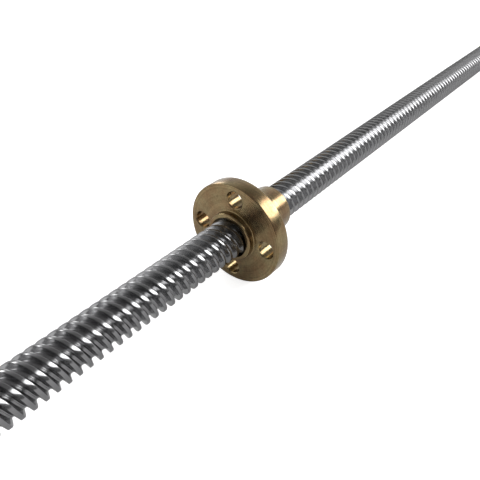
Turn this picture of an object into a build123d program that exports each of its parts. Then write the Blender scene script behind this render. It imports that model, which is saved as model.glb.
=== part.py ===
"""Lead screw with a four-start trapezoidal thread, and its round flanged nut.

Both pieces are drawn upright on the screw's axis, with the screw's near end at
z = 0. They are then laid down as the real thing comes to rest on a table: on the
rim of the nut's flange and on the screw's far end. Lengths are in millimetres
and angles in degrees.
"""

import os
from math import atan2, ceil, cos, floor, radians, sin, tan

from build123d import *

# Thread that the screw and the nut share
PITCH = 2.0             # from one ridge to the next along the axis
STARTS = 4              # ridges that wind side by side
THREAD_ANGLE = 30.0     # between the two sides of a groove
CREST_WIDTH = 0.732     # flat top of a ridge
THREAD_DEPTH = 1.1
THREAD_TURN = -21.0     # of the first ridge about the axis at the near end

# Screw
SCREW_DIAMETER = 8.0
SCREW_LENGTH = 220.0
END_CHAMFER = 1.2

# Play of the nut on the screw
SIDE_PLAY = 0.15        # along the axis, beside each side of a ridge
TOP_PLAY = 0.25         # over the screw's ridges
BOTTOM_PLAY = 0.2       # over the bottom of the screw's grooves

# Nut, turned in one piece: boss, flange and barrel
NUT_PLACE = 58.0        # from the screw's near end to the flange's front face
BOSS_DIAMETER = 10.4
BOSS_HEIGHT = 1.5
FLANGE_DIAMETER = 22.0
FLANGE_THICKNESS = 3.5
BARREL_DIAMETER = 10.0
BARREL_LENGTH = 10.0
RIM_CHAMFER = 0.3
BOSS_CHAMFER = 0.35
BARREL_CHAMFER = 0.4
MOUTH_CHAMFER = 0.15    # of the bore, past the top of its thread

# Bolt holes in the flange
BOLT_CIRCLE = 16.0
BOLT_COUNT = 4
BOLT_HOLE = 3.5
BOLT_CHAMFER = 0.2
BOLT_TURN = 3.0         # of the first hole from the top

LEAD = PITCH * STARTS
SIDE_SLOPE = tan(radians(THREAD_ANGLE / 2))
SCREW_RADIUS = SCREW_DIAMETER / 2
ROOT_RADIUS = SCREW_RADIUS - THREAD_DEPTH
FLANGE_RADIUS = FLANGE_DIAMETER / 2


def threaded_bar(top_radius, bottom_radius, top_width, low, high):
    """A bar threaded all over, from below low to above high, with rough ends.

    Every turn of every strip of the thread is a ruled face between two helices,
    and one flat face and one spiral face close each end.
    """
    side_width = (top_radius - bottom_radius) * SIDE_SLOPE
    first_turn = floor(low / LEAD) - 1
    turns = ceil(high / LEAD) + 1 - first_turn
    start = first_turn * LEAD - top_width / 2

    corners = []
    for ridge in range(STARTS):
        z = start + ridge * PITCH
        corners += [
            (top_radius, z),
            (top_radius, z + top_width),
            (bottom_radius, z + top_width + side_width),
            (bottom_radius, z + PITCH - side_width),
        ]
    corners.append((top_radius, start + LEAD))

    def helix(radius, z):
        return Edge.make_helix(LEAD, LEAD, radius, center=(0, 0, z))

    faces = []
    for turn in range(turns):
        helices = [helix(radius, z + turn * LEAD) for radius, z in corners]
        for below, above in zip(helices, helices[1:]):
            faces.append(Face.make_surface_from_curves(below, above))

    for z in (start, start + turns * LEAD):
        outline = [(radius, 0, z - start + corner) for radius, corner in corners]
        axis = Edge.make_line((0, 0, z), (0, 0, z + LEAD))
        faces.append(Face(Wire.make_polygon([(0, 0, z), *outline, (0, 0, z + LEAD)])))
        faces.append(Face.make_surface_from_curves(helix(top_radius, z), axis))

    bar = Solid(Shell(Face.sew_faces(faces)[0]))
    return Rot(0, 0, THREAD_TURN) * bar


def turned(outline):
    """A solid of revolution about the axis, from (radius, z) points."""
    return revolve(Plane.XZ * make_face(Polyline(*outline, close=True)), Axis.Z)


def lead_screw():
    """Threaded from end to end, with each end chamfered to below the thread."""
    end_radius = SCREW_RADIUS - END_CHAMFER
    blank = turned([
        (0, 0),
        (end_radius, 0),
        (SCREW_RADIUS + END_CHAMFER, 2 * END_CHAMFER),
        (SCREW_RADIUS + END_CHAMFER, SCREW_LENGTH - 2 * END_CHAMFER),
        (end_radius, SCREW_LENGTH),
        (0, SCREW_LENGTH),
    ])
    bar = threaded_bar(SCREW_RADIUS, ROOT_RADIUS, CREST_WIDTH, 0, SCREW_LENGTH)
    return bar & blank


def flange_nut():
    """Boss, flange and barrel turned from one bar, with a thread cut through."""
    boss, flange, barrel = BOSS_DIAMETER / 2, FLANGE_RADIUS, BARREL_DIAMETER / 2
    near = NUT_PLACE - BOSS_HEIGHT
    back = NUT_PLACE + FLANGE_THICKNESS
    far = back + BARREL_LENGTH
    blank = turned([
        (0, near),
        (boss - BOSS_CHAMFER, near),
        (boss, near + BOSS_CHAMFER),
        (boss, NUT_PLACE),
        (flange - RIM_CHAMFER, NUT_PLACE),
        (flange, NUT_PLACE + RIM_CHAMFER),
        (flange, back - RIM_CHAMFER),
        (flange - RIM_CHAMFER, back),
        (barrel, back),
        (barrel, far - BARREL_CHAMFER),
        (barrel - BARREL_CHAMFER, far),
        (0, far),
    ])

    top = SCREW_RADIUS + TOP_PLAY
    bottom = ROOT_RADIUS + BOTTOM_PLAY
    width = CREST_WIDTH - 2 * TOP_PLAY * SIDE_SLOPE + 2 * SIDE_PLAY
    nut = blank - threaded_bar(top, bottom, width, near, far)

    mouth = top + MOUTH_CHAMFER
    nut -= turned([(0, near), (mouth, near), (0, near + mouth)])
    nut -= turned([(0, far), (mouth, far), (0, far - mouth)])

    hole = BOLT_HOLE / 2
    drill = turned([
        (0, NUT_PLACE),
        (hole + BOLT_CHAMFER, NUT_PLACE),
        (hole, NUT_PLACE + BOLT_CHAMFER),
        (hole, back - BOLT_CHAMFER),
        (hole + BOLT_CHAMFER, back),
        (0, back),
    ])
    spots = PolarLocations(BOLT_CIRCLE / 2, BOLT_COUNT, start_angle=BOLT_TURN)
    return nut - [spot * drill for spot in spots]


def lying_down():
    """Where the upright pieces go when flange rim and far end touch the table."""
    rim = NUT_PLACE + FLANGE_THICKNESS - RIM_CHAMFER
    toe = SCREW_LENGTH - END_CHAMFER
    tilt = atan2(FLANGE_RADIUS - SCREW_RADIUS, toe - rim)
    height = rim * sin(tilt) + FLANGE_RADIUS * cos(tilt)
    return Location(Plane(
        origin=(-SCREW_LENGTH / 2 * cos(tilt), 0, height),
        x_dir=(sin(tilt), 0, cos(tilt)),
        z_dir=(cos(tilt), 0, -sin(tilt)),
    ))


os.makedirs("parts", exist_ok=True)
place = lying_down()
export_step(place * lead_screw(), "parts/lead_screw.step")
export_step(place * flange_nut(), "parts/flange_nut.step")
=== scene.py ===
"""A trapezoidal lead screw of bright steel, lying propped on its brass flange nut."""

from math import atan2, ceil, cos, floor, pi, radians, sin, tan

import bmesh
import bpy
from mathutils import Matrix


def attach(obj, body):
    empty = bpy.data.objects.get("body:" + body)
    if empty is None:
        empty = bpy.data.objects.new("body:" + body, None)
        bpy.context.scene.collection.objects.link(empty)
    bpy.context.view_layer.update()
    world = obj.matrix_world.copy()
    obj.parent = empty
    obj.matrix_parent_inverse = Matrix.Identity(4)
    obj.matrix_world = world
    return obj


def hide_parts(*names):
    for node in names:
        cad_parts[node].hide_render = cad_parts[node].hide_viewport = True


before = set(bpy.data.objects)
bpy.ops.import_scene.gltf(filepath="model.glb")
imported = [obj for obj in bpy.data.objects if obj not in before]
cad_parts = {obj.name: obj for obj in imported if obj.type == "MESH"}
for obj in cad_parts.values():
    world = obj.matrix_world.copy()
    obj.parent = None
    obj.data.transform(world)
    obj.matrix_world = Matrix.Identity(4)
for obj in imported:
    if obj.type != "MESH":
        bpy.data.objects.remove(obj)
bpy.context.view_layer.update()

# Lead screw
#
# One bar of cold-rolled carbon steel. Hardened rollers press its four-start thread
# in, which burnishes the ridges and leaves fine lines along the grooves. The screw
# lies on the rim of its nut and on its own far end, and that sets its tilt.

MM = 0.001
PITCH = 2.0 * MM
STARTS = 4
LEAD = PITCH * STARTS
THREAD_ANGLE = radians(30)   # between the two sides of a groove
SIDE_SLOPE = tan(THREAD_ANGLE / 2)
THREAD_TURN = radians(-21)   # of the first ridge about the axis
THREAD_STEPS = 48            # flats in each turn, smoothed by the shading
SCREW_RADIUS = 4.0 * MM
ROOT_RADIUS = 2.9 * MM
CREST_WIDTH = 0.732 * MM
CORNER = 0.19 * MM           # rounding that rolling leaves along ridges and grooves
ROUNDING_STEPS = 3           # flats across a rounded edge
SMOOTH_ANGLE = radians(34)   # edges that turn by more than this stay sharp
SCREW_LENGTH = 220.0 * MM
END_CHAMFER = 1.2 * MM
OVERSHOOT = 1.0 * MM         # how far a rough bar or a tool passes the finished piece
SPARE_TURNS = 2              # wound at each end of a bar, then cut off
SAME_POINT = MM / 1000       # points closer than this become one

FLANGE_RADIUS = 11.0 * MM
FLANGE_THICKNESS = 3.5 * MM
NUT_PLACE = 58.0 * MM        # from the screw's near end to the flange's front
RIM_ROUNDING = 0.3 * MM
RIM_PLACE = NUT_PLACE + FLANGE_THICKNESS - RIM_ROUNDING
TILT = atan2(FLANGE_RADIUS - SCREW_RADIUS, SCREW_LENGTH - END_CHAMFER - RIM_PLACE)
LAID_TURN = (0, pi / 2 + TILT, 0)
NEAR_END = (-SCREW_LENGTH / 2 * cos(TILT), 0, RIM_PLACE * sin(TILT) + FLANGE_RADIUS * cos(TILT))


def pick(piece):
    """Selects one piece and nothing else."""
    bpy.ops.object.select_all(action="DESELECT")
    piece.select_set(True)
    bpy.context.view_layer.objects.active = piece


def edit(piece, faces=None, edges=None):
    """Opens a piece in edit mode with the faces or edges selected that pass a test."""
    pick(piece)
    bpy.ops.object.mode_set(mode="EDIT")
    bpy.ops.mesh.select_mode(type="FACE" if faces else "EDGE")
    bpy.ops.mesh.select_all(action="DESELECT")
    mesh = bmesh.from_edit_mesh(piece.data)
    for face in mesh.faces if faces else ():
        face.select_set(faces(face))
    for edge in mesh.edges if edges else ():
        edge.select_set(edges(edge))
    bmesh.update_edit_mesh(piece.data)


def apply_modifier(piece, kind, **settings):
    """Adds a modifier to a piece with its settings and applies it."""
    pick(piece)
    modifier = piece.modifiers.new(kind.title(), kind)
    for name, value in settings.items():
        setattr(modifier, name, value)
    bpy.ops.object.modifier_apply(modifier=modifier.name)


def cut(piece, tool, operation="DIFFERENCE"):
    """Cuts one closed piece with another and throws the tool away."""
    apply_modifier(piece, "BOOLEAN", operation=operation, solver="EXACT", object=tool)
    bpy.data.objects.remove(tool)


def lay_down(piece):
    """Turns an upright piece on the Z axis into place and fixes that in its mesh."""
    pick(piece)
    piece.rotation_euler = LAID_TURN
    piece.location = NEAR_END
    bpy.ops.object.transform_apply(location=True, rotation=True, scale=True)
    bpy.ops.object.shade_smooth_by_angle(angle=SMOOTH_ANGLE)


def threaded_bar(top, bottom, crest, low, high):
    """A closed bar, threaded all over: one ridge's outline, repeated and wound up."""
    side = (top - bottom) * SIDE_SLOPE
    first_turn = floor(low / LEAD) - SPARE_TURNS
    turns = ceil(high / LEAD) + SPARE_TURNS - first_turn

    bpy.ops.object.select_all(action="DESELECT")
    bpy.ops.mesh.primitive_plane_add(size=MM, location=(top, 0, first_turn * LEAD - crest / 2))
    bar = bpy.context.object
    bpy.ops.object.transform_apply(location=True)
    bpy.ops.object.mode_set(mode="EDIT")
    bpy.ops.mesh.select_all(action="SELECT")
    bpy.ops.mesh.merge(type="CENTER")
    for across, along in (
        (0, crest),
        (bottom - top, side),
        (0, PITCH - crest - 2 * side),
        (top - bottom, side),
    ):
        bpy.ops.mesh.extrude_region_move(TRANSFORM_OT_translate={"value": (across, 0, along)})
    mesh = bmesh.from_edit_mesh(bar.data)
    for vertex in mesh.verts:
        vertex.select = len(vertex.link_edges) == 2
    bpy.ops.mesh.bevel(offset=CORNER, segments=ROUNDING_STEPS, affect="VERTICES")
    bpy.ops.object.mode_set(mode="OBJECT")

    apply_modifier(bar, "ARRAY", count=STARTS, use_relative_offset=False, use_constant_offset=True,
                   constant_offset_displace=(0, 0, PITCH), use_merge_vertices=True,
                   merge_threshold=SAME_POINT)
    apply_modifier(bar, "SCREW", axis="Z", screw_offset=LEAD, iterations=turns,
                   steps=THREAD_STEPS, render_steps=THREAD_STEPS)

    edit(bar)
    bpy.ops.mesh.select_all(action="SELECT")
    bpy.ops.mesh.remove_doubles(threshold=SAME_POINT)
    for place, upper in ((low - OVERSHOOT, False), (high + OVERSHOOT, True)):
        bpy.ops.mesh.select_all(action="SELECT")
        bpy.ops.mesh.bisect(plane_co=(0, 0, place), plane_no=(0, 0, 1), use_fill=True,
                            clear_inner=not upper, clear_outer=upper)
    bpy.ops.mesh.select_all(action="SELECT")
    bpy.ops.mesh.normals_make_consistent(inside=False)
    bpy.ops.object.mode_set(mode="OBJECT")
    bar.data.transform(Matrix.Rotation(THREAD_TURN, 4, "Z"))
    return bar


screw = threaded_bar(SCREW_RADIUS, ROOT_RADIUS, CREST_WIDTH, 0, SCREW_LENGTH)
screw.name = "rolled_screw"

# A wider bar, tapered at both ends, leaves the screw its length and its chamfers.
bpy.ops.object.select_all(action="DESELECT")
bpy.ops.mesh.primitive_cylinder_add(vertices=THREAD_STEPS, radius=SCREW_RADIUS + END_CHAMFER,
                                    depth=SCREW_LENGTH, location=(0, 0, SCREW_LENGTH / 2))
blank = bpy.context.object
edit(blank, edges=lambda edge: abs(edge.verts[0].co.z - edge.verts[1].co.z) < SAME_POINT)
bpy.ops.mesh.bevel(offset=2 * END_CHAMFER, segments=1, affect="EDGES")
bpy.ops.object.mode_set(mode="OBJECT")
cut(screw, blank, "INTERSECT")
lay_down(screw)


def colour(code):
    """The linear colour that a shader takes, from an sRGB hex code."""
    values = [int(code[i:i + 2], 16) / 255 for i in (1, 3, 5)]
    return [v / 12.92 if v <= 0.04045 else ((v + 0.055) / 1.055) ** 2.4 for v in values] + [1]


def add(tree, kind, inputs=None, **settings):
    """Adds a node with its settings. An input is a value or another node's output."""
    node = tree.nodes.new("ShaderNode" + kind)
    for name, value in settings.items():
        setattr(node, name, value)
    for name, value in (inputs or {}).items():
        if isinstance(value, bpy.types.NodeSocket):
            tree.links.new(value, node.inputs[name])
        else:
            node.inputs[name].default_value = value
    return node.outputs


def fade(tree, value, low, high, at_low, at_high):
    """A value's smooth passage from one level to another."""
    return add(tree, "MapRange", {"Value": value, "From Min": low, "From Max": high, "To Min": at_low,
                                  "To Max": at_high}, interpolation_type="SMOOTHSTEP")["Result"]


def new_material(name):
    """An empty material, its node tree and its output node."""
    material = bpy.data.materials.new(name)
    material.use_nodes = True
    tree = material.node_tree
    tree.nodes.clear()
    return material, tree, tree.nodes.new("ShaderNodeOutputMaterial")


# Cold-rolled carbon steel, bare and lightly oiled: a grey mirror, a little clouded.
# The rollers leave the tops of the ridges slightly domed, their sides lighter, and
# sharp lines 0.3 mm apart along the grooves. The cut ends have none of these marks.
# Sizes here are in mm.
STEEL = colour("#868687")
FLANK_STEEL = colour("#a6a6a7")
EDGE_TINT = colour("#d8d8d8")
CREST_EDGE = (0.36, 0.44)    # from the middle of a ridge
GROOVE_EDGE = (0.62, 0.70)
END_EDGE = (2.80, 2.86)      # from the axis
CROWN = 0.3                  # slope of a ridge's top, for each mm from its middle
GROOVE_LINE = 0.30
LINE_SLOPE = 0.4
STREAK_WIDTH, STREAK_LENGTH, STREAK_DEPTH = 0.11, 4.0, 0.006
GRAIN, GRAIN_DEPTH = 0.2, 0.003
CLOUD = 3.0
STEEL_ROUGHNESS = {"To Min": 0.15, "To Max": 0.22}
NOISE = {"From Min": 0.3, "From Max": 0.7}  # holds most of a noise pattern's values

steel, tree, output = new_material("cold_rolled_steel")
spot = add(tree, "TexCoord")["Object"]
upright = add(tree, "Mapping", {"Vector": spot, "Location": NEAR_END, "Rotation": LAID_TURN,
                                "Scale": (MM, MM, MM)}, vector_type="TEXTURE")["Vector"]
part = add(tree, "SeparateXYZ", {"Vector": upright})

# Place across the thread: the height, less what a ridge has climbed at this angle.
angle = add(tree, "Math", {0: part["Y"], 1: part["X"]}, operation="ARCTAN2")[0]
rise = -LEAD / MM / (2 * pi)
unwound = add(tree, "Math", {0: angle, 1: rise, 2: part["Z"]}, operation="MULTIPLY_ADD")[0]
shifted = add(tree, "Math", {0: unwound, 1: -rise * THREAD_TURN}, operation="ADD")[0]
across = add(tree, "Math", {0: shifted, 1: PITCH / MM / 2, 2: -PITCH / MM / 2}, operation="WRAP")[0]
from_ridge = add(tree, "Math", {0: across}, operation="ABSOLUTE")[0]
groove = fade(tree, from_ridge, *GROOVE_EDGE, 0.0, 1.0)
below_crest = fade(tree, from_ridge, *CREST_EDGE, 0.0, 1.0)
flank = add(tree, "Math", {0: below_crest, 1: groove}, operation="SUBTRACT")[0]

flat = add(tree, "VectorMath", {0: upright, 1: (1, 1, 0)}, operation="MULTIPLY")[0]
radius = add(tree, "VectorMath", {0: flat}, operation="LENGTH")["Value"]
threaded = fade(tree, radius, *END_EDGE, 0.0, 1.0)
flank = add(tree, "Math", {0: flank, 1: threaded}, operation="MULTIPLY")[0]

# Direction across the thread at each point, from one ridge to the next.
square = add(tree, "VectorMath", {0: flat, 1: flat}, operation="DOT_PRODUCT")["Value"]
around = add(tree, "VectorMath", {0: flat, 1: (0, 0, 1)}, operation="CROSS_PRODUCT")[0]
share = add(tree, "Math", {0: -rise, 1: square}, operation="DIVIDE")[0]
lean = add(tree, "VectorMath", {0: around, "Scale": share}, operation="SCALE")[0]
thread_way = add(tree, "VectorMath", {0: lean, 1: (0, 0, 1)}, operation="ADD")[0]
laid_way = add(tree, "Mapping", {"Vector": thread_way, "Rotation": LAID_TURN},
               vector_type="VECTOR")["Vector"]

streak_spot = add(tree, "CombineXYZ", {"X": across, "Y": part["X"], "Z": part["Y"]})[0]
streak_size = (STREAK_WIDTH, STREAK_LENGTH, STREAK_LENGTH)
streak_scaled = add(tree, "VectorMath", {0: streak_spot, 1: streak_size}, operation="DIVIDE")[0]
streak = add(tree, "TexNoise", {"Vector": streak_scaled, "Scale": 1.0, "Detail": 4.0})[0]
streak = add(tree, "Math", {0: streak, 1: threaded}, operation="MULTIPLY")[0]
cloud = add(tree, "TexNoise", {"Vector": upright, "Scale": 1 / CLOUD, "Detail": 3.0})[0]
grain = add(tree, "TexNoise", {"Vector": upright, "Scale": 1 / GRAIN, "Detail": 2.0})[0]

# The grooves' lines and the ridges' crowns lean the surface across the thread.
wave = add(tree, "Math", {0: across, 1: 2 * pi / GROOVE_LINE}, operation="MULTIPLY")[0]
line = add(tree, "Math", {0: wave}, operation="COSINE")[0]
line_slopes = {"To Min": 0.5 * LINE_SLOPE, "To Max": 1.5 * LINE_SLOPE}
depth = add(tree, "MapRange", {"Value": streak, **NOISE, **line_slopes})["Result"]
line = add(tree, "Math", {0: line, 1: depth}, operation="MULTIPLY")[0]
line = add(tree, "Math", {0: line, 1: groove}, operation="MULTIPLY")[0]
crown = fade(tree, from_ridge, *CREST_EDGE, -CROWN, 0.0)
crown = add(tree, "Math", {0: across, 1: crown, 2: line}, operation="MULTIPLY_ADD")[0]
crown = add(tree, "Math", {0: crown, 1: threaded}, operation="MULTIPLY")[0]
slope = add(tree, "VectorMath", {0: laid_way, "Scale": crown}, operation="SCALE")[0]
normal = add(tree, "NewGeometry")["Normal"]
lined = add(tree, "VectorMath", {0: normal, 1: slope}, operation="SUBTRACT")[0]
lined = add(tree, "VectorMath", {0: lined}, operation="NORMALIZE")[0]
bump = add(tree, "Bump", {"Height": streak, "Distance": STREAK_DEPTH * MM, "Strength": 1.0,
                          "Normal": lined})[0]
bump = add(tree, "Bump", {"Height": grain, "Distance": GRAIN_DEPTH * MM, "Strength": 1.0, "Normal": bump})[0]

tone = add(tree, "Mix", {"Factor": flank, "A": STEEL, "B": FLANK_STEEL}, data_type="RGBA")["Result"]
roughness = add(tree, "MapRange", {"Value": cloud, **NOISE, **STEEL_ROUGHNESS})["Result"]
surface = add(tree, "BsdfPrincipled", {"Base Color": tone, "Roughness": roughness, "Metallic": 1.0,
                                       "Specular Tint": EDGE_TINT, "Normal": bump})[0]
tree.links.new(surface, output.inputs["Surface"])
screw.data.materials.append(steel)

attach(screw, "screw")
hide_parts("lead_screw")

# Flange nut
#
# One piece of free-cutting brass, turned from bar in one setting: a low boss in
# front, the flange, and the barrel behind. The bolt holes are drilled and lightly
# countersunk, and the thread is tapped through with play for the screw.

BOSS_RADIUS = 5.2 * MM
BOSS_HEIGHT = 1.5 * MM
BARREL_RADIUS = 5.0 * MM
BARREL_LENGTH = 10.0 * MM
BOSS_ROUNDING = 0.35 * MM
BOSS_FILLET = 0.15 * MM
BARREL_ROUNDING = 0.4 * MM
TOP_PLAY = 0.25 * MM
BOTTOM_PLAY = 0.2 * MM
SIDE_PLAY = 0.15 * MM
MOUTH_CHAMFER = 0.15 * MM
BOLT_CIRCLE_RADIUS = 8.0 * MM
BOLT_COUNT = 4
BOLT_HOLE_RADIUS = 1.75 * MM
BOLT_CHAMFER = 0.2 * MM
BOLT_TURN = radians(3)       # of the first hole from the top
TURNED_STEPS = 192           # flats round the nut
DRILLED_STEPS = 64           # flats round a bolt hole
NEARBY = MM / 100            # picks what lies at a height or a radius
ALONG = 0.9                  # picks the faces that look along the axis

NUT_NEAR = NUT_PLACE - BOSS_HEIGHT
FLANGE_BACK = NUT_PLACE + FLANGE_THICKNESS
NUT_FAR = FLANGE_BACK + BARREL_LENGTH


def grow(piece, height, facing, scale, along):
    """Insets the flat round face at a height to a scale and pulls it out along the axis."""
    edit(piece, faces=lambda face: abs(face.calc_center_median().z - height) < NEARBY
         and face.normal.z * facing > ALONG)
    bpy.ops.mesh.extrude_region_move(TRANSFORM_OT_translate={"value": (0, 0, 0)})
    bpy.ops.transform.resize(value=(scale, scale, 1), center_override=(0, 0, height))
    bpy.ops.mesh.extrude_region_move(TRANSFORM_OT_translate={"value": (0, 0, along * facing)})
    bpy.ops.object.mode_set(mode="OBJECT")


def round_off(piece, height, radius, width):
    """Rounds off the circular edge at a height and radius."""
    edit(piece, edges=lambda edge: all(
        abs(v.co.z - height) < NEARBY and abs(v.co.xy.length - radius) < NEARBY for v in edge.verts))
    bpy.ops.mesh.bevel(offset=width, segments=ROUNDING_STEPS, affect="EDGES")
    bpy.ops.object.mode_set(mode="OBJECT")


bpy.ops.object.select_all(action="DESELECT")
bpy.ops.mesh.primitive_cylinder_add(vertices=TURNED_STEPS, radius=FLANGE_RADIUS, depth=FLANGE_THICKNESS,
                                    location=(0, 0, (NUT_PLACE + FLANGE_BACK) / 2))
nut = bpy.context.object
nut.name = "turned_nut"
bpy.ops.object.transform_apply(location=True)
grow(nut, NUT_PLACE, -1, BOSS_RADIUS / FLANGE_RADIUS, BOSS_HEIGHT)
grow(nut, FLANGE_BACK, 1, BARREL_RADIUS / FLANGE_RADIUS, BARREL_LENGTH)
round_off(nut, NUT_PLACE, FLANGE_RADIUS, RIM_ROUNDING)
round_off(nut, FLANGE_BACK, FLANGE_RADIUS, RIM_ROUNDING)
round_off(nut, NUT_NEAR, BOSS_RADIUS, BOSS_ROUNDING)
round_off(nut, NUT_PLACE, BOSS_RADIUS, BOSS_FILLET)
round_off(nut, NUT_FAR, BARREL_RADIUS, BARREL_ROUNDING)

tap = threaded_bar(SCREW_RADIUS + TOP_PLAY, ROOT_RADIUS + BOTTOM_PLAY,
                   CREST_WIDTH - 2 * TOP_PLAY * SIDE_SLOPE + 2 * SIDE_PLAY, NUT_NEAR, NUT_FAR)
cut(nut, tap)

# A cone with a right angle at its tip, sunk into each end, opens the mouths.
cone_size = SCREW_RADIUS + TOP_PLAY + MOUTH_CHAMFER + OVERSHOOT
for height, facing in ((NUT_NEAR, -1), (NUT_FAR, 1)):
    bpy.ops.object.select_all(action="DESELECT")
    bpy.ops.mesh.primitive_cone_add(vertices=TURNED_STEPS, radius1=cone_size, radius2=0, depth=cone_size,
                                    rotation=(0 if facing < 0 else pi, 0, 0),
                                    location=(0, 0, height + facing * (OVERSHOOT - cone_size / 2)))
    cone = bpy.context.object
    bpy.ops.object.transform_apply(location=True, rotation=True)
    cut(nut, cone)

# Each drill flares at both ends, which countersinks its hole.
for bolt in range(BOLT_COUNT):
    turn = BOLT_TURN + 2 * pi * bolt / BOLT_COUNT
    bpy.ops.object.select_all(action="DESELECT")
    bpy.ops.mesh.primitive_cylinder_add(vertices=DRILLED_STEPS, radius=BOLT_HOLE_RADIUS,
                                        depth=FLANGE_THICKNESS - 2 * BOLT_CHAMFER, location=(0, 0, 0))
    drill = bpy.context.object
    reach = FLANGE_THICKNESS / 2 - BOLT_CHAMFER
    for facing in (-1, 1):
        edit(drill, faces=lambda face: face.normal.z * facing > ALONG)
        bpy.ops.mesh.extrude_region_move(TRANSFORM_OT_translate={"value": (0, 0, 2 * BOLT_CHAMFER * facing)})
        flare = 1 + 2 * BOLT_CHAMFER / BOLT_HOLE_RADIUS
        bpy.ops.transform.resize(value=(flare, flare, 1), center_override=(0, 0, reach * facing))
        bpy.ops.object.mode_set(mode="OBJECT")
    drill.location = (BOLT_CIRCLE_RADIUS * cos(turn), BOLT_CIRCLE_RADIUS * sin(turn),
                      (NUT_PLACE + FLANGE_BACK) / 2)
    bpy.ops.object.transform_apply(location=True)
    cut(nut, drill)
lay_down(nut)

# Turned brass, bare and a little dulled by handling: brown-yellow, with clouds of
# redder tarnish, specks, and rings from the tool. The rings are drawn 0.3 mm apart,
# wider than a tool leaves them, so that they show. Sizes here are in mm.
BRASS = colour("#8a7b5b")
TARNISH = colour("#80664a")
TOOL_RING, RING_DEPTH = 0.32, 0.018
SPECK, SPECK_DEPTH = 0.45, 0.006
TARNISH_CLOUD = 3.6
TARNISHED = {"From Min": 0.38, "From Max": 0.68}
WORN = {"From Min": 0.7, "From Max": 1.3, "To Min": 0.72, "To Max": 1.28}
BRASS_ROUGHNESS = {"To Min": 0.17, "To Max": 0.26}

brass, tree, output = new_material("turned_brass")
spot = add(tree, "TexCoord")["Object"]
upright = add(tree, "Mapping", {"Vector": spot, "Location": NEAR_END, "Rotation": LAID_TURN,
                                "Scale": (MM, MM, MM)}, vector_type="TEXTURE")["Vector"]
part = add(tree, "SeparateXYZ", {"Vector": upright})
flat = add(tree, "VectorMath", {0: upright, 1: (1, 1, 0)}, operation="MULTIPLY")[0]
radius = add(tree, "VectorMath", {0: flat}, operation="LENGTH")["Value"]
ring_spot = add(tree, "CombineXYZ", {"X": radius, "Y": part["Z"], "Z": 0.0})[0]
ring = add(tree, "TexNoise", {"Vector": ring_spot, "Scale": 1 / TOOL_RING, "Detail": 3.0,
                              "Roughness": 0.6})[0]
cloud = add(tree, "TexNoise", {"Vector": upright, "Scale": 1 / TARNISH_CLOUD, "Detail": 5.0,
                               "Roughness": 0.6})[0]
speck = add(tree, "TexNoise", {"Vector": upright, "Scale": 1 / SPECK, "Detail": 3.0})[0]
bump = add(tree, "Bump", {"Height": ring, "Distance": RING_DEPTH * MM, "Strength": 1.0})[0]
bump = add(tree, "Bump", {"Height": speck, "Distance": SPECK_DEPTH * MM, "Strength": 1.0, "Normal": bump})[0]
dull = add(tree, "MapRange", {"Value": cloud, **TARNISHED})["Result"]
tone = add(tree, "Mix", {"Factor": dull, "A": BRASS, "B": TARNISH}, data_type="RGBA")["Result"]
worn = add(tree, "Math", {0: ring, 1: speck}, operation="ADD")[0]
worn = add(tree, "MapRange", {"Value": worn, **WORN})["Result"]
tone = add(tree, "VectorMath", {0: tone, "Scale": worn}, operation="SCALE")[0]
roughness = add(tree, "MapRange", {"Value": cloud, **NOISE, **BRASS_ROUGHNESS})["Result"]
surface = add(tree, "BsdfPrincipled", {"Base Color": tone, "Roughness": roughness, "Metallic": 1.0,
                                       "Normal": bump})[0]
tree.links.new(surface, output.inputs["Surface"])
nut.data.materials.append(brass)

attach(nut, "nut")
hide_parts("flange_nut")

# Floor and surroundings
#
# A wide table of matt white paper. It keeps the object's shadow, shows white to the
# camera, and in the metal adds a painted glow, dimmer close to the screw as painted shade.

PAPER = 0.72
TABLE_SIZE = 12              # metres, so that no view shows its edges
CAMERA_LIFT = 0.75           # makes it white to the camera
# A painted glow that the paper shows in the metal, dimmed under the screw as painted shade.
PAINTED_MIRROR_GLOW = (0.04, 0.17)   # in the metal: under the screw, and away from it
PAINTED_SHADE_REACH = (0.0, 0.035)    # to the side of the screw, in metres

bpy.ops.object.select_all(action="DESELECT")
bpy.ops.mesh.primitive_plane_add(size=TABLE_SIZE, location=(0, 0, 0))
floor_plane = bpy.context.object
floor_plane.name = "floor"
paper, tree, output = new_material("white_paper")
ray = add(tree, "LightPath")
mirrored = add(tree, "Math", {0: ray["Is Glossy Ray"], 1: ray["Is Transmission Ray"]},
               operation="MAXIMUM")[0]
direct = add(tree, "Math", {0: ray["Is Camera Ray"], 1: CAMERA_LIFT}, operation="MULTIPLY")[0]
place = add(tree, "NewGeometry")["Position"]
away = add(tree, "SeparateXYZ", {"Vector": place})["Y"]
away = add(tree, "Math", {0: away}, operation="ABSOLUTE")[0]
# Painted reflection: the paper glows in the metal, dimmer under the screw as painted shade.
painted_reflection = fade(tree, away, *PAINTED_SHADE_REACH, *PAINTED_MIRROR_GLOW)
lift = add(tree, "Math", {0: mirrored, 1: painted_reflection, 2: direct}, operation="MULTIPLY_ADD")[0]
glow = add(tree, "Emission", {"Color": (1, 1, 1, 1), "Strength": lift})[0]
matt = add(tree, "BsdfDiffuse", {"Color": (PAPER, PAPER, PAPER, 1)})[0]
both = add(tree, "AddShader", {0: matt, 1: glow})[0]
tree.links.new(both, output.inputs["Surface"])
floor_plane.data.materials.append(paper)

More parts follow.
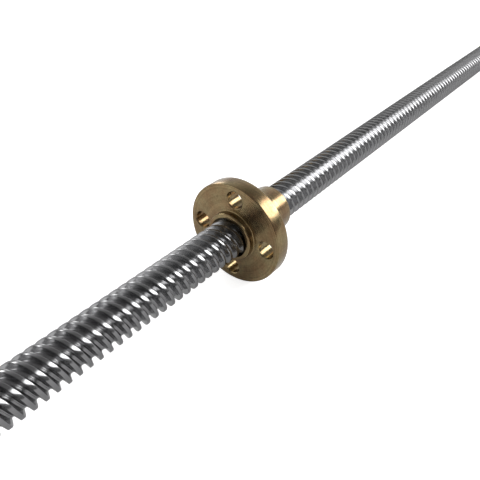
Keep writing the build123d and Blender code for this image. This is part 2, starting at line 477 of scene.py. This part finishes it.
# The room around it, drawn by how far a direction leans from straight up towards the
# viewer, about the line of the screw, and by its share of the way towards the far
# end. The room is pale behind the screw, and dark overhead and behind the viewer. A
# long white light hangs on the viewer's side, deeper towards the far end, and two
# thin ones stand behind the screw. Low down past the near end, and past the far end,
# the room is a little lighter. The camera itself sees plain white.
PALE, DARK, GREY = 0.72, 0.28, 0.22
OVERHEAD = (radians(-55), radians(-5))
BEHIND_VIEWER = (radians(0), radians(60))
EDGE_PLACE, EDGE_DEPTH, EDGE_LIGHT = radians(-64), radians(7), 8.0
EDGE_SPAN = (0.0, 0.10, 0.24, 0.38)
LOW_PLACE, LOW_DEPTH, LOW_LIGHT = radians(-78), radians(9), 5.5
LOW_SPAN = (0.42, 0.51, 0.56, 0.64)
LIGHT_PLACE, LIGHT = radians(44.5), 7.5
LIGHT_DEPTH = (radians(8), radians(22))
LIGHT_SPAN = (0.2, 0.85)
LIGHT_START = (-0.20, 0.50)
NEAR_LIGHT, NEAR_SPAN = 0.5, (-0.75, -0.30)
NEAR_LEAN = (radians(35), radians(65))
FAR_GLOW, FAR_SPAN = 0.50, (0.72, 0.95)
SOFT = radians(5)            # half the width of a light's soft edge

world = bpy.data.worlds.new("studio")
bpy.context.scene.world = world
world.use_nodes = True
tree = world.node_tree
tree.nodes.clear()
way = add(tree, "TexCoord")["Generated"]
part = add(tree, "SeparateXYZ", {"Vector": way})
viewer_way = add(tree, "Math", {0: part["Y"], 1: -1.0}, operation="MULTIPLY")[0]
leaning = add(tree, "Math", {0: viewer_way, 1: part["Z"]}, operation="ARCTAN2")[0]


def stretch(start, full, fading, end):
    """Full between two shares of the way along the screw, and nothing past its ends."""
    rising = fade(tree, part["X"], start, full, 0.0, 1.0)
    falling = fade(tree, part["X"], fading, end, 0.0, 1.0)
    return add(tree, "Math", {0: rising, 1: falling}, operation="SUBTRACT")[0]


def band(place, depth, strength, span):
    """A long light at a lean, with soft edges, along a stretch of the screw."""
    off = add(tree, "Math", {0: leaning, 1: place}, operation="SUBTRACT")[0]
    off = add(tree, "Math", {0: off}, operation="ABSOLUTE")[0]
    inside = add(tree, "Math", {0: depth, 1: off}, operation="SUBTRACT")[0]
    lit = fade(tree, inside, -SOFT, SOFT, 0.0, strength)
    return add(tree, "Math", {0: lit, 1: span}, operation="MULTIPLY")[0]


room = fade(tree, leaning, *OVERHEAD, PALE, DARK)
viewer_side = fade(tree, leaning, *BEHIND_VIEWER, 0.0, GREY - DARK)
depth = fade(tree, part["X"], *LIGHT_SPAN, *LIGHT_DEPTH)
far_half = fade(tree, part["X"], *LIGHT_START, 0.0, 1.0)
near_light = fade(tree, part["X"], *NEAR_SPAN, NEAR_LIGHT, 0.0)
low_down = add(tree, "Math", {0: leaning}, operation="ABSOLUTE")[0]
low_down = fade(tree, low_down, *NEAR_LEAN, 0.0, 1.0)
near_light = add(tree, "Math", {0: near_light, 1: low_down}, operation="MULTIPLY")[0]
long_light = band(LIGHT_PLACE, depth, LIGHT, far_half)
edge_light = band(EDGE_PLACE, EDGE_DEPTH, EDGE_LIGHT, stretch(*EDGE_SPAN))
low_light = band(LOW_PLACE, LOW_DEPTH, LOW_LIGHT, stretch(*LOW_SPAN))
far_glow = fade(tree, part["X"], *FAR_SPAN, 0.0, FAR_GLOW)
total = room
for layer in (viewer_side, near_light, far_glow, long_light, edge_light, low_light):
    total = add(tree, "Math", {0: total, 1: layer}, operation="ADD")[0]
ray = add(tree, "LightPath")
total = add(tree, "Mix", {"Factor": ray["Is Camera Ray"], "A": total, "B": 1.0})["Result"]
air = add(tree, "Background", {"Color": (1, 1, 1, 1), "Strength": total})[0]
output = tree.nodes.new("ShaderNodeOutputWorld")
tree.links.new(air, output.inputs["Surface"])

# Camera
#
# The photograph's viewpoint: close to the near end, a little to the side, looking
# down along the screw. Sensor and lens are in mm, and places are in metres.

SENSOR_WIDTH, LENS = 36, 40.26
CAMERA_PLACE = (-0.11878, -0.05571, 0.0746)
CAMERA_TURN = (radians(53.26), radians(1.54), radians(-52.24))
NEAREST_SHOWN = 0.01

camera_data = bpy.data.cameras.new("camera")
camera_data.sensor_width = SENSOR_WIDTH
camera_data.lens = LENS
camera_data.clip_start = NEAREST_SHOWN
camera = bpy.data.objects.new("camera", camera_data)
bpy.context.scene.collection.objects.link(camera)
camera.location = CAMERA_PLACE
camera.rotation_euler = CAMERA_TURN
bpy.context.scene.camera = camera
bpy.context.scene.view_settings.view_transform = "Standard"
